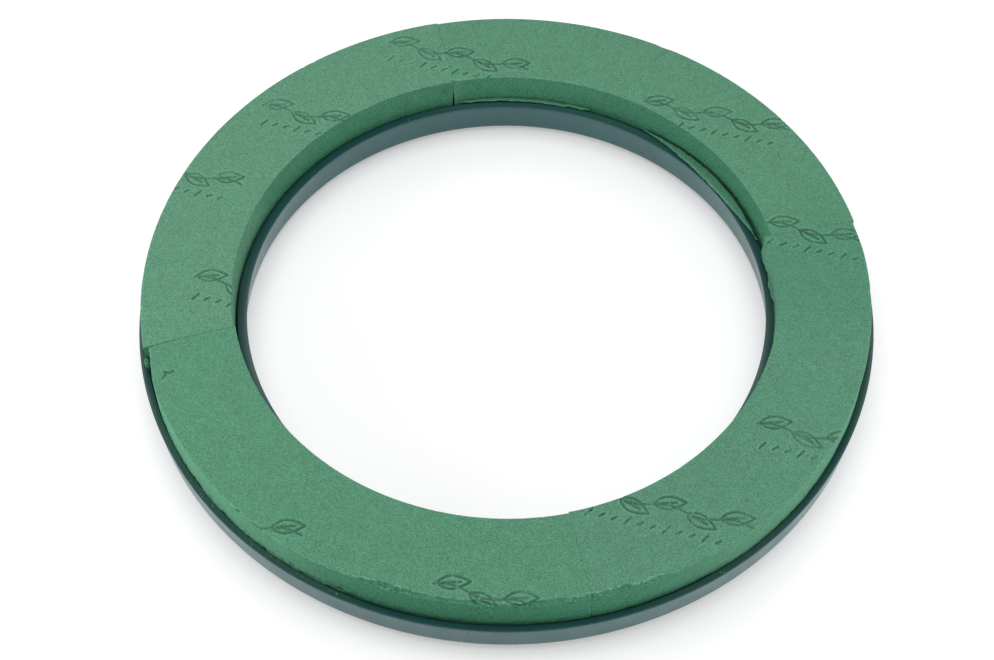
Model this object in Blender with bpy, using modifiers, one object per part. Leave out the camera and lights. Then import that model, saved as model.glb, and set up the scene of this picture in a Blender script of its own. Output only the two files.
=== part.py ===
"""Floral foam ring: four quarter arcs of foam bonded into a moulded channel tray.

The origin is the ring's centre on the tray's underside, with +Z up.
All sizes are in metres and all angles in degrees, counter-clockwise from +X.
"""
import math

import bmesh
import bpy

COLLECTION_NAME = "floral_foam_ring"

# Foam: a flat ring cut as four quarter arcs that meet at four radial seams.
FOAM_OUTER_RADIUS = 0.1500
FOAM_INNER_RADIUS = 0.1129
FOAM_TOP = 0.0327
FOAM_BOTTOM = 0.0027
FOAM_CRUSHED_EDGE = 0.0030
SEAM_GAP = 0.0003
FIRST_SEAM_ANGLE = 12.0
SEAM_STEP = 90.0

# Tray: a turned channel whose walls end in a flat rim beside the foam.
RIM_OUTER_RADIUS = 0.1530
RIM_INNER_RADIUS = 0.1083
RIM_TOP = 0.0184
RIM_EDGE_ROUND = 0.0003
RIM_LEDGE_DROP = 0.0005
OUTER_DRAFT = 5.0
HOLE_DRAFT = 8.5
OUTER_CORNER = 0.0075
HOLE_CORNER = 0.0055
WALL = 0.0012

# How finely round shapes are divided.
RING_STEPS = 96
EDGE_STEPS = 3
CORNER_STEPS = 6
INSIDE_STEPS = 4
BAND_END_STEPS = 5

# Glue: two flat beads under each arc, between the foam and the tray's floor.
BEAD_WIDTH = 0.0060
BEAD_THICKNESS = 0.0009
BEAD_RADII = {"inner": 0.1235, "outer": 0.1395}
BEAD_MARGIN = 7.0
BEAD_STEPS = 14

# Foam shavings that lie on the tray's rim beside the inner wall of the ring.
SHAVING_THICKNESS = 0.0009
SHAVING_LIFT = 0.0003
SHAVING_STEPS = 24

# The sliver at the right is a pointed leaf; its lean moves its widest place along it.
SLIVER_START = 16.0
SLIVER_END = 56.0
SLIVER_TIP_RADIUS = 0.1122
SLIVER_OUTER_RADIUS = 0.1128
SLIVER_DEPTH = 0.0040
SLIVER_LEAN = 1.35

# The strip at the back is a narrow band.
STRIP_START = 70.5
STRIP_END = 100.5
STRIP_RADIUS = 0.1122
STRIP_WIDTH = 0.0012

# How each hand-cut arc differs from the plain ring: what is added to its outer radius
# and to its inner radius, then its shift in X and in Y.
ARCS = {
    "foam_arc_back_right": (-0.0004, 0.0003, 0.00060, 0.00000),
    "foam_arc_back_left": (0.0000, 0.0000, -0.00035, 0.00000),
    "foam_arc_front_left": (-0.0003, 0.0000, 0.00035, 0.00030),
    "foam_arc_front_right": (-0.0001, -0.0003, -0.00060, 0.00030),
}

# Colour, roughness
MATERIALS = {
    "tray_plastic": ((0.020, 0.060, 0.052), 0.35),
    "foam_back_right": ((0.115, 0.300, 0.190), 0.95),
    "foam_back_left": ((0.120, 0.300, 0.192), 0.95),
    "foam_front_left": ((0.110, 0.305, 0.188), 0.95),
    "foam_front_right": ((0.120, 0.298, 0.186), 0.95),
    "foam_shaving": ((0.085, 0.260, 0.150), 0.95),
    "hot_melt_glue": ((0.550, 0.500, 0.340), 0.45),
}


def clear_scene():
    """Remove every object that is in the open file."""
    for item in list(bpy.data.objects):
        bpy.data.objects.remove(item, do_unlink=True)


def new_collection(name):
    """Make a collection under the scene's own."""
    collection = bpy.data.collections.new(name)
    bpy.context.scene.collection.children.link(collection)
    return collection


def make_material(name):
    """A Principled material from the table of colours."""
    colour, roughness = MATERIALS[name]
    material = bpy.data.materials.new(name)
    material.use_nodes = True
    shader = material.node_tree.nodes["Principled BSDF"]
    shader.inputs["Base Color"].default_value = (*colour, 1.0)
    shader.inputs["Roughness"].default_value = roughness
    shader.inputs["Metallic"].default_value = 0.0
    material.diffuse_color = (*colour, 1.0)
    return material


def add_object(name, data, collection, material=None):
    """Link new data into a collection, with its material."""
    item = bpy.data.objects.new(name, data)
    collection.objects.link(item)
    if material is not None:
        data.materials.append(material)
    return item


def polar(radius, angle):
    """A plan point from a radius and an angle in degrees."""
    turn = math.radians(angle)
    return radius * math.cos(turn), radius * math.sin(turn)


def arc_points(centre, radius, start, end, steps):
    """Points along a round stretch of an outline, ends included."""
    points = []
    for step in range(steps + 1):
        x, y = polar(radius, start + (end - start) * step / steps)
        points.append((centre[0] + x, centre[1] + y))
    return points


def turned_ring(name, profile, collection, material=None):
    """A solid ring: a closed profile of (radius, height) points, screwed about Z."""
    mesh = bpy.data.meshes.new(name)
    shape = bmesh.new()
    verts = [shape.verts.new((radius, 0.0, height)) for radius, height in profile]
    for here, after in zip(verts, verts[1:] + verts[:1]):
        shape.edges.new((here, after))
    shape.to_mesh(mesh)
    shape.free()
    ring = add_object(name, mesh, collection, material)
    screw = ring.modifiers.new("turn", "SCREW")
    screw.axis = "Z"
    screw.angle = math.tau
    screw.steps = RING_STEPS
    screw.render_steps = RING_STEPS
    screw.use_merge_vertices = True
    screw.merge_threshold = 0.00001
    screw.use_smooth_shade = True
    return ring


def tray_profile():
    """The channel's section, clockwise from the top of its outer wall."""
    outer_lean = math.radians(OUTER_DRAFT)
    hole_lean = math.radians(HOLE_DRAFT)
    outer_side = (RIM_TOP - OUTER_CORNER) * math.tan(outer_lean) + OUTER_CORNER / math.cos(outer_lean)
    hole_side = (RIM_TOP - HOLE_CORNER) * math.tan(hole_lean) + HOLE_CORNER / math.cos(hole_lean)
    outer_centre = (RIM_OUTER_RADIUS - outer_side, OUTER_CORNER)
    hole_centre = (RIM_INNER_RADIUS + hole_side, HOLE_CORNER)
    outer_round = OUTER_CORNER - WALL
    hole_round = HOLE_CORNER - WALL
    ledge = RIM_TOP - RIM_LEDGE_DROP
    edge = RIM_EDGE_ROUND
    lean_in = 180.0 + HOLE_DRAFT

    outside = arc_points((RIM_OUTER_RADIUS - edge, RIM_TOP - edge), edge, 90.0, -OUTER_DRAFT, EDGE_STEPS)
    outside += arc_points(outer_centre, OUTER_CORNER, -OUTER_DRAFT, -90.0, CORNER_STEPS)
    outside += arc_points(hole_centre, HOLE_CORNER, 270.0, lean_in, CORNER_STEPS)
    outside += arc_points((RIM_INNER_RADIUS + edge, RIM_TOP - edge), edge, lean_in, 90.0, EDGE_STEPS)

    inside = [(hole_centre[0] - hole_round, ledge)]
    inside += arc_points(hole_centre, hole_round, 180.0, 270.0, INSIDE_STEPS)
    inside += arc_points(outer_centre, outer_round, 270.0, 360.0, INSIDE_STEPS)
    inside += [(outer_centre[0] + outer_round, ledge)]
    return outside + inside


def make_tray(collection):
    """The moulded channel tray."""
    turned_ring("plastic_tray", tray_profile(), collection, make_material("tray_plastic"))


def foam_profile(outer, inner):
    """The foam's section: square on top, with its bottom edges crushed in."""
    crush = FOAM_CRUSHED_EDGE
    return [
        (outer, FOAM_TOP),
        (outer, FOAM_BOTTOM + crush),
        (outer - crush, FOAM_BOTTOM),
        (inner + crush, FOAM_BOTTOM),
        (inner, FOAM_BOTTOM + crush),
        (inner, FOAM_TOP),
    ]


def quarter_cutter(name, start, collection):
    """A box whose corner edge stands near the axis and opens over a quarter turn."""
    side = 2.0 * FOAM_OUTER_RADIUS
    mesh = bpy.data.meshes.new(name)
    shape = bmesh.new()
    bmesh.ops.create_cube(shape, size=side)
    offset = side / 2.0 + SEAM_GAP / 2.0
    bmesh.ops.translate(shape, verts=shape.verts, vec=(offset, offset, 0.0))
    shape.to_mesh(mesh)
    shape.free()
    cutter = add_object(name, mesh, collection)
    cutter.rotation_euler.z = math.radians(start)
    cutter.hide_render = True
    cutter.display_type = "WIRE"
    return cutter


def make_foam(collection, cutters):
    """The four arcs, each cut out of its own turned ring."""
    for index, (name, (outer_add, inner_add, shift_x, shift_y)) in enumerate(ARCS.items()):
        material = make_material(name.replace("foam_arc", "foam"))
        profile = foam_profile(FOAM_OUTER_RADIUS + outer_add, FOAM_INNER_RADIUS + inner_add)
        arc = turned_ring(name, profile, collection, material)
        arc.location = (shift_x, shift_y, 0.0)
        start = FIRST_SEAM_ANGLE + SEAM_STEP * index
        cut = arc.modifiers.new("quarter", "BOOLEAN")
        cut.operation = "INTERSECT"
        cut.solver = "EXACT"
        cut.object = quarter_cutter(f"cutter_{name}", start, cutters)


def flat_piece(name, outline, middle_height, thickness, collection, material):
    """A closed plan outline extruded both ways from its middle height."""
    curve = bpy.data.curves.new(name, "CURVE")
    curve.dimensions = "2D"
    curve.fill_mode = "BOTH"
    curve.extrude = thickness / 2.0
    spline = curve.splines.new("POLY")
    spline.points.add(len(outline) - 1)
    for point, (x, y) in zip(spline.points, outline):
        point.co = (x, y, 0.0, 1.0)
    spline.use_cyclic_u = True
    piece = add_object(name, curve, collection, material)
    piece.location.z = middle_height
    return piece


def band_outline(radius, width, start, end, steps):
    """A curved band with round ends, as a plan outline."""
    half = width / 2.0
    outline = arc_points((0.0, 0.0), radius + half, start, end, steps)
    outline += arc_points(polar(radius, end), half, end, end + 180.0, BAND_END_STEPS)[1:-1]
    outline += arc_points((0.0, 0.0), radius - half, end, start, steps)
    outline += arc_points(polar(radius, start), half, start + 180.0, start + 360.0, BAND_END_STEPS)[1:-1]
    return outline


def make_glue(collection):
    """Two beads under each arc, held clear of the floor and of the foam."""
    material = make_material("hot_melt_glue")
    middle = (WALL + FOAM_BOTTOM) / 2.0
    for index, arc_name in enumerate(ARCS):
        start = FIRST_SEAM_ANGLE + SEAM_STEP * index
        for side, radius in BEAD_RADII.items():
            outline = band_outline(
                radius, BEAD_WIDTH, start + BEAD_MARGIN, start + SEAM_STEP - BEAD_MARGIN, BEAD_STEPS
            )
            name = f"{arc_name.replace('foam_arc', 'glue_bead')}_{side}"
            flat_piece(name, outline, middle, BEAD_THICKNESS, collection, material)


def sliver_outline():
    """A pointed sliver in plan, from its end beside the foam to its free tip."""
    towards_foam = SLIVER_OUTER_RADIUS - SLIVER_TIP_RADIUS
    towards_hole = SLIVER_DEPTH - towards_foam
    far_side = []
    near_side = []
    for step in range(SHAVING_STEPS + 1):
        share = step / SHAVING_STEPS
        swell = math.sin(math.pi * share ** SLIVER_LEAN)
        angle = SLIVER_END + (SLIVER_START - SLIVER_END) * share
        far_side.append(polar(SLIVER_TIP_RADIUS + towards_foam * swell, angle))
        near_side.append(polar(SLIVER_TIP_RADIUS - towards_hole * swell, angle))
    return far_side + near_side[-2:0:-1]


def make_shavings(collection):
    """Thin slivers of foam that were pressed off the arcs when they went in."""
    material = make_material("foam_shaving")
    middle = RIM_TOP + SHAVING_LIFT + SHAVING_THICKNESS / 2.0
    sliver = sliver_outline()
    flat_piece("foam_shaving_right", sliver, middle, SHAVING_THICKNESS, collection, material)
    strip = band_outline(STRIP_RADIUS, STRIP_WIDTH, STRIP_START, STRIP_END, SHAVING_STEPS)
    flat_piece("foam_shaving_back", strip, middle, SHAVING_THICKNESS, collection, material)


def main():
    """Build the whole ring."""
    clear_scene()
    parts = new_collection(COLLECTION_NAME)
    cutters = new_collection("cutters")
    make_tray(parts)
    make_foam(parts, cutters)
    make_glue(parts)
    make_shavings(parts)


main()
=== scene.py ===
import itertools
import math
import random

import bmesh
import bpy
import numpy as np
from mathutils import Matrix, Vector


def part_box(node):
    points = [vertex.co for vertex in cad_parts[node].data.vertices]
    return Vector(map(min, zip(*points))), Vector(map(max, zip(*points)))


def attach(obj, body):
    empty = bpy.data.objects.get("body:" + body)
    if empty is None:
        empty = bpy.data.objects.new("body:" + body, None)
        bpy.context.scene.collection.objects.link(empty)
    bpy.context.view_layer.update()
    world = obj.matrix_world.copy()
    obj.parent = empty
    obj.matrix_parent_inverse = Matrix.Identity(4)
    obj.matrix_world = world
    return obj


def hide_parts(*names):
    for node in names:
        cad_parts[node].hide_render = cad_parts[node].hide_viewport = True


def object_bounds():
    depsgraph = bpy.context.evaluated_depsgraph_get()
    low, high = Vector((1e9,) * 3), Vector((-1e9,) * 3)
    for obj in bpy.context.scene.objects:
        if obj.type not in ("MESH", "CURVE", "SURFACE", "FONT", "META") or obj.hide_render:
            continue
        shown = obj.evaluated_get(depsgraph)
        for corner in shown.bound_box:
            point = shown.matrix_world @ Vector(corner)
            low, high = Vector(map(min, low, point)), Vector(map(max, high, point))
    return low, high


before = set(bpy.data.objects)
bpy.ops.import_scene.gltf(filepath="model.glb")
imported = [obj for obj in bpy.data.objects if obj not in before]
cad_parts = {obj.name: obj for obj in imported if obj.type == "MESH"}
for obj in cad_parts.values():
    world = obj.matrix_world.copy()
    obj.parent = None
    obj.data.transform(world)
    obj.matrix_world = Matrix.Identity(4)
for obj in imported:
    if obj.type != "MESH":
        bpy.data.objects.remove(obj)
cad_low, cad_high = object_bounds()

MM = 0.001
BODY = "root"

# Camera: a long lens in front of the ring, looking down at it.
CAMERA_LENS = 69.19
CAMERA_PLACE = (-0.0039, -0.4725, 0.6645)
CAMERA_TILT = 35.30

# Foam surface: how far apart the mesh's lines are, and how far down the wall each spacing goes.
ARC_STEP = 0.40 * MM
TOP_STEP = 0.37 * MM
WALL_STEP = 0.36 * MM
LOW_WALL_STEP = 0.75 * MM
HIDDEN_STEP = 4.0 * MM
FINE_WALL = 4.0 * MM
SHOWN_WALL = 16.0 * MM
SEAM_GAP_LEFT = 0.02 * MM

SEAM_STEP = 90.0
ARC_NAMES = ("back_right", "back_left", "front_left", "front_right")

# Colour of each arc's foam, as linear red, green and blue. No two bricks are quite alike.
FOAM_COLOURS = {
    "back_right": (0.106, 0.280, 0.177),
    "back_left": (0.115, 0.288, 0.185),
    "front_left": (0.099, 0.278, 0.173),
    "front_right": (0.103, 0.273, 0.175),
}
# Painted shade: the shavings and the seam lump share a foam colour darker than the arcs'.
SHADED_SHAVING_COLOUR = (0.066, 0.200, 0.126)
CRUMB_COLOUR = (0.100, 0.250, 0.168)
TRAY_COLOUR = (0.0085, 0.0640, 0.0660)
# Painted light: the outside walls get a lighter, bluer copy of the tray colour, for light from the white
# floor.
TRAY_WALL_LIGHT_COLOUR = (0.0085, 0.0920, 0.0960)
# Foam dust mixed with painted light on the ledges.
HAZE_AND_LIGHT_COLOUR = (0.068, 0.150, 0.122)
# Lighter grey patches on parts of the ledges.
LEDGE_GREY_COLOUR = (0.080, 0.078, 0.072)
# Painted shade: what a cut wall keeps of the top's red, green and blue, darker and deeper green.
PAINTED_SHADE_TONE = (0.58, 0.83, 0.77)
GLUE_COLOUR = (0.62, 0.50, 0.27)

# The pressed pattern: a leafy sprig over a row of short dashes, printed at a slant. Each print
# starts at a plan point, in millimetres.
STAMP_TURN = -15.0
STAMP_LENGTH = 65.0 * MM
STAMP_STARTS = {
    "top": (-52.9, 134.9),
    "top_right": (60.8, 99.0),
    "right": (110.1, 30.6),
    "lower_right": (98.0, -69.9),
    "bottom_right": (29.6, -99.6),
    "bottom": (-27.3, -140.1),
    "bottom_left": (-140.2, -103.0),
    "left": (-176.3, 68.3),
    "lower_left": (-128.9, 2.1),
    "upper_left": (-107.4, 96.8),
}
# A scrap of another print on the front left arc, as plan points in millimetres.
SCRAP_STROKE = ((-137.8, -48.6), (-136.2, -46.4), (-136.9, -44.3), (-134.6, -45.2), (-133.3, -44.2))
GROOVE_WIDTH = 0.50 * MM
GROOVE_DEPTH = 0.80 * MM

# A short slip of the knife across the top face of the back right arc.
KNIFE_ENDS = ((0.1495, 60.5), (0.1300, 63.0))
KNIFE_FADE = (0.129, 0.147)
KNIFE_DEPTH = 0.30 * MM


# ---- noise

NOISE_SIDE = 64
NOISE_TABLE = np.random.default_rng(7).uniform(-1.0, 1.0, NOISE_SIDE ** 3)


def lattice_noise(points, size, seed):
    """Smooth noise from -1 to 1 at each point, with features of about that size."""
    cells = points / size + np.array((17.31, 5.77, 11.93)) * seed
    base = np.floor(cells).astype(np.int64)
    part = cells - base
    part = part * part * (3.0 - 2.0 * part)
    low = base % NOISE_SIDE
    high = (base + 1) % NOISE_SIDE
    strides = (NOISE_SIDE ** 2, NOISE_SIDE, 1)
    ends = [(low[:, axis] * strides[axis], high[:, axis] * strides[axis]) for axis in range(3)]
    values = {corner: NOISE_TABLE[sum(ends[axis][corner[axis]] for axis in range(3))]
              for corner in itertools.product((0, 1), repeat=3)}
    for axis in (2, 1, 0):
        share = part[:, axis]
        values = {corner: values[corner + (0,)] * (1.0 - share) + values[corner + (1,)] * share
                  for corner in itertools.product((0, 1), repeat=axis)}
    return values[()]


def layered_noise(points, size, seed, layers=3):
    """Several sizes of noise added up, each half as large and half as strong."""
    total = np.zeros(len(points))
    for layer in range(layers):
        total += lattice_noise(points, size / 2 ** layer, seed + layer) / 2 ** layer
    return total / 1.6


def ramp(value, low, high):
    """0 below low, 1 above high, and a smooth rise between."""
    share = unit((value - low) / (high - low))
    return share * share * (3.0 - 2.0 * share)


def window(value, low, high, soft):
    """1 between low and high, fading to 0 over soft on each side."""
    rise = ramp(value, low - soft, low + soft)
    return rise * (1.0 - ramp(value, high - soft, high + soft))


def unit(value):
    """The value kept between 0 and 1."""
    return np.clip(value, 0.0, 1.0)


def hump(value, width):
    """1 at 0, and falling smoothly to 0 over about that width on each side."""
    return np.exp(-((value / width) ** 2))


# ---- meshes

def mesh_object(name, verts, faces, material, flat=()):
    """A smooth-shaded mesh object from points and faces. The faces numbered in flat stay flat."""
    sizes = np.array([len(face) for face in faces])
    mesh = bpy.data.meshes.new(name)
    mesh.vertices.add(len(verts))
    mesh.vertices.foreach_set("co", np.asarray(verts, np.float32).ravel())
    mesh.loops.add(int(sizes.sum()))
    mesh.loops.foreach_set("vertex_index", np.concatenate(faces).astype(np.int32))
    mesh.polygons.add(len(faces))
    first_loops = np.concatenate([[0], np.cumsum(sizes)[:-1]])
    mesh.polygons.foreach_set("loop_start", first_loops.astype(np.int32))
    mesh.update(calc_edges=True)
    mesh.shade_smooth()
    for index in flat:
        mesh.polygons[index].use_smooth = False
    mesh.materials.append(material)
    piece = bpy.data.objects.new(name, mesh)
    bpy.context.scene.collection.objects.link(piece)
    return piece


def tube_faces(rows, columns, closed_rows=False):
    """Quads of a tube of rows of points, each row a closed loop of columns, with end caps."""
    count = rows if closed_rows else rows - 1
    here = np.arange(count)[:, None] * columns
    after = (np.arange(count)[:, None] + 1) % rows * columns
    column = np.arange(columns)[None, :]
    beside = (column + 1) % columns
    quads = np.stack([here + column, here + beside, after + beside, after + column], axis=-1)
    faces = list(quads.reshape(-1, 4))
    if not closed_rows:
        faces.append(np.arange(columns)[::-1])
        faces.append((rows - 1) * columns + np.arange(columns))
    return faces


def tube_object(name, verts, rows, columns, material):
    """A capped tube whose two end caps are flat."""
    faces = tube_faces(rows, columns)
    return mesh_object(name, verts, faces, material, (len(faces) - 2, len(faces) - 1))


def place_round(radius, turn, z):
    """Points in space from a radius, a turn in radians and a height each."""
    x, y = radius * np.cos(turn), radius * np.sin(turn)
    return np.column_stack([x.ravel(), y.ravel(), z.ravel()])


def add_values(piece, name, values):
    """A number for each point, which the material reads."""
    layer = piece.data.attributes.new(name, "FLOAT", "POINT")
    layer.data.foreach_set("value", np.asarray(values, np.float32))


# ---- materials

class Graph:
    """A small helper that adds shader nodes and joins them."""

    def __init__(self, name):
        self.material = bpy.data.materials.new(name)
        self.material.use_nodes = True
        self.nodes = self.material.node_tree.nodes
        self.links = self.material.node_tree.links
        self.shader = self.nodes["Principled BSDF"]
        self.place = self.add("TexCoord").outputs["Object"]

    def add(self, kind, **numbers):
        """A new node with the named inputs set."""
        node = self.nodes.new("ShaderNode" + kind)
        for name, number in numbers.items():
            node.inputs[name.replace("_", " ")].default_value = number
        return node

    def feed(self, socket, value):
        """Set a socket to a number or a colour, or join another node's output to it."""
        if isinstance(value, tuple):
            socket.default_value = (*value, 1.0)
        elif isinstance(value, (int, float)):
            socket.default_value = value
        else:
            self.links.new(value, socket)

    def noise(self, scale, detail=2.0, roughness=0.5):
        node = self.add("TexNoise", Scale=scale, Detail=detail, Roughness=roughness)
        self.feed(node.inputs["Vector"], self.place)
        return node.outputs["Fac"]

    def stored(self, name):
        node = self.add("Attribute")
        node.attribute_name = name
        return node.outputs["Fac"]

    def spread(self, value, low, high, to_low=0.0, to_high=1.0):
        node = self.add("MapRange", From_Min=low, From_Max=high, To_Min=to_low, To_Max=to_high)
        self.feed(node.inputs["Value"], value)
        return node.outputs["Result"]

    def sum(self, first, second, operation="ADD"):
        node = self.add("Math")
        node.operation = operation
        self.feed(node.inputs[0], first)
        self.feed(node.inputs[1], second)
        return node.outputs["Value"]

    def mix(self, share, first, second, blend="MIX"):
        node = self.add("Mix")
        node.data_type = "RGBA"
        node.blend_type = blend
        for place, value in ((0, share), (6, first), (7, second)):
            self.feed(node.inputs[place], value)
        return node.outputs[2]

    def bump(self, height, distance, strength=1.0, under=None):
        node = self.add("Bump", Distance=distance, Strength=strength)
        self.feed(node.inputs["Height"], height)
        if under is not None:
            self.feed(node.inputs["Normal"], under)
        return node.outputs["Normal"]

    def finish(self, colour, normal, roughness, specular):
        inputs = self.shader.inputs
        self.feed(inputs["Base Color"], colour)
        if normal is not None:
            self.feed(inputs["Normal"], normal)
        self.feed(inputs["Roughness"], roughness)
        inputs["Specular IOR Level"].default_value = specular
        return self.material


def scaled(colour, share):
    """A colour made lighter or darker."""
    return tuple(min(1.0, channel * share) for channel in colour)


# What the foam's colour becomes in its cells, in its raised specks, under dust and painted light, and in
# its marks and painted shade.
CELL_TONE = 0.42
SPECK_TONE = 1.50
DUST_AND_LIGHT_TONE = 2.10
MARK_AND_SHADE_TONE = 0.22
DARKER_PATCH = (0.955, 0.965, 0.955)
LIGHTER_PATCH = (1.045, 1.035, 1.045)


def foam_material(name, colour):
    """Fine open-cell foam: dusty, matt and speckled, with painted light mixed into its dust, painted
    shade on its cut walls and painted shade in its grooves and pits.
    """
    graph = Graph(name)
    grain = graph.noise(1700.0, 2.0, 0.7)
    speckle = graph.noise(3300.0, 1.0, 0.5)
    patches = graph.noise(150.0, 3.0, 0.6)
    both = graph.sum(graph.sum(grain, 0.4, "MULTIPLY"), graph.sum(speckle, 0.6, "MULTIPLY"))
    cell, speck = scaled(colour, CELL_TONE), scaled(colour, SPECK_TONE)
    speckled = graph.mix(graph.spread(both, 0.34, 0.66), cell, speck)
    patched = graph.mix(graph.spread(patches, 0.30, 0.70), DARKER_PATCH, LIGHTER_PATCH)
    # Painted shade: cut walls darker and deeper green.
    shaded_tone = graph.mix(graph.stored("cut"), (1.0, 1.0, 1.0), PAINTED_SHADE_TONE)
    toned = graph.mix(1.0, graph.mix(1.0, speckled, patched, "MULTIPLY"), shaded_tone, "MULTIPLY")
    # Dust and painted light make the colour lighter.
    dust = graph.sum(graph.stored("dust"), graph.spread(grain, 0.30, 0.55), "MULTIPLY")
    dusty = graph.mix(dust, toned, scaled(colour, DUST_AND_LIGHT_TONE))
    # Marks, and painted shade in grooves, pits and hollows, make the colour darker.
    marked_and_shaded = graph.mix(graph.stored("mark"), dusty, scaled(colour, MARK_AND_SHADE_TONE))
    fine = graph.bump(both, 0.12 * MM, 0.7)
    rough = graph.bump(graph.noise(620.0, 2.0, 0.6), 0.11 * MM, 0.4, fine)
    return graph.finish(marked_and_shaded, rough, 0.95, 0.15)


def tray_material():
    """Dark green moulded plastic with a soft gloss, faint moulding waves, foam dust mixed with painted
    light on the ledges, and painted light on the outside walls.
    """
    graph = Graph("tray_plastic")
    cloud = graph.noise(38.0, 2.0, 0.5)
    cloudy = graph.mix(graph.spread(cloud, 0.3, 0.7), (0.92, 0.92, 0.92), (1.08, 1.08, 1.08))
    # Painted light: outside walls lighter and bluer than the ledges.
    plain = graph.mix(graph.stored("wall"), TRAY_COLOUR, TRAY_WALL_LIGHT_COLOUR)
    # Lighter grey patches on the ledges.
    tone = graph.mix(1.0, graph.mix(graph.stored("grey_patch"), plain, LEDGE_GREY_COLOUR), cloudy, "MULTIPLY")
    specks = graph.spread(graph.noise(1300.0, 3.0, 0.7), 0.60, 0.70)
    # Foam dust mixed with painted light on the ledges.
    dust = graph.sum(graph.stored("dust"), graph.spread(specks, 0.0, 1.0, 0.8, 1.8), "MULTIPLY")
    dusty = graph.mix(dust, tone, HAZE_AND_LIGHT_COLOUR)
    haze = graph.spread(graph.noise(90.0, 2.0, 0.6), 0.35, 0.7, 0.27, 0.35)
    roughness = graph.sum(haze, graph.sum(dust, 0.3, "MULTIPLY"), "ADD")
    wave = graph.bump(cloud, 0.12 * MM, 0.3)
    skin = graph.bump(graph.noise(1500.0, 1.0, 0.5), 0.004 * MM, 0.3, wave)
    return graph.finish(dusty, skin, roughness, 0.5)


def glue_material():
    """Amber hot-melt glue, cloudy and softly glossy."""
    graph = Graph("hot_melt_glue")
    cloud = graph.noise(260.0, 3.0, 0.6)
    tone = graph.mix(graph.spread(cloud, 0.3, 0.7), scaled(GLUE_COLOUR, 0.8), scaled(GLUE_COLOUR, 1.15))
    ripple = graph.bump(graph.noise(420.0, 2.0, 0.5), 0.2 * MM, 0.5)
    return graph.finish(tone, ripple, graph.spread(cloud, 0.3, 0.7, 0.3, 0.5), 0.5)


FLOOR_GLOW = 0.36
FLOOR_DARKER = (0.71, 0.71, 0.71)
FLOOR_LIGHTER = (0.73, 0.73, 0.73)


def floor_material():
    """A plain white studio floor, faintly lit from beneath as a light table is."""
    graph = Graph("studio_floor")
    graph.shader.inputs["Emission Color"].default_value = (1.0, 1.0, 1.0, 1.0)
    graph.shader.inputs["Emission Strength"].default_value = FLOOR_GLOW
    tone = graph.mix(graph.spread(graph.noise(6.0), 0.3, 0.7), FLOOR_DARKER, FLOOR_LIGHTER)
    return graph.finish(tone, None, 0.9, 0.1)


# ---- pressed pattern

LEAVES = 5
LEAF_SPACING = 13.0 * MM
LEAF_LENGTH = 12.6 * MM
LEAF_WIDTH = 5.6 * MM
LEAF_TURN = 17.0
STEM_SWAY = 1.3 * MM
STEM_WAVES = 2.5
DASHES = 12
DASH_SPACING = 5.0 * MM
DASH_LEAN = 1.8 * MM
DASH_ROW = -9.4 * MM


def curve_points(function, steps):
    """Points of a plan curve given as a function of 0 to 1."""
    return [function(step / steps) for step in range(steps + 1)]


def leaf_strokes(x, y, length, width, turn):
    """A pointed leaf's two sides and its middle vein, growing from x, y."""
    cosine, sine = math.cos(math.radians(turn)), math.sin(math.radians(turn))

    def placed(along, across):
        return (x + along * cosine - across * sine, y + along * sine + across * cosine)

    def edge(side):
        return lambda t: placed(length * t, side * width / 2.0 * math.sin(math.pi * t ** 0.85))

    vein = curve_points(lambda t: placed(length * (0.18 + 0.52 * t), 0.0), 3)
    return [curve_points(edge(-1.0), 14), curve_points(edge(1.0), 14), vein]


def sprig_strokes():
    """One print of the pattern in its own plan frame, as lines of points in metres."""
    def stem(t):
        return STAMP_LENGTH * t, STEM_SWAY * math.sin(STEM_WAVES * math.tau * t)

    strokes = [curve_points(stem, 48)]
    for index in range(LEAVES):
        side = -1.0 if index % 2 else 1.0
        start = 1.0 * MM + LEAF_SPACING * index
        strokes += leaf_strokes(start, side * 0.6 * MM, LEAF_LENGTH, LEAF_WIDTH, side * LEAF_TURN)
    for index in range(DASHES):
        x = 3.0 * MM + DASH_SPACING * index
        rise = 0.8 * MM if index % 3 else 1.6 * MM
        strokes.append([(x, DASH_ROW - rise), (x + DASH_LEAN, DASH_ROW + rise)])
    return strokes


def stroke_segments():
    """Every print's strokes as segments in the row frame: two (n, 2) arrays."""
    turn = math.radians(STAMP_TURN)
    spin = np.array(((math.cos(turn), math.sin(turn)), (-math.sin(turn), math.cos(turn))))
    starts = []
    ends = []
    for place in STAMP_STARTS.values():
        origin = np.array(place) * MM
        for stroke in sprig_strokes():
            points = np.array(stroke) @ spin + origin
            starts.append(points[:-1])
            ends.append(points[1:])
    scrap = np.array(SCRAP_STROKE) * MM
    starts.append(scrap[:-1])
    ends.append(scrap[1:])
    return np.concatenate(starts), np.concatenate(ends)


def plan_point(radius, angle):
    """A plan point at that radius and angle in degrees."""
    return np.array(((radius * math.cos(math.radians(angle)), radius * math.sin(math.radians(angle))),))


SEGMENT_STARTS, SEGMENT_ENDS = stroke_segments()
KNIFE_CUT = tuple(plan_point(*end) for end in KNIFE_ENDS)


def distance_to_segments(plan, starts, ends, reach):
    """How far each plan point is from the nearest segment, up to reach."""
    nearest = np.full(len(plan), reach)
    for start, end in zip(starts, ends):
        low = np.minimum(start, end) - reach
        high = np.maximum(start, end) + reach
        close = np.nonzero(((plan > low) & (plan < high)).all(axis=1))[0]
        if not len(close):
            continue
        along = end - start
        offset = plan[close] - start
        share = unit(offset @ along / max(along @ along, 1e-12))
        gap = np.linalg.norm(offset - share[:, None] * along, axis=1)
        nearest[close] = np.minimum(nearest[close], gap)
    return nearest


# ---- foam arcs

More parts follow.
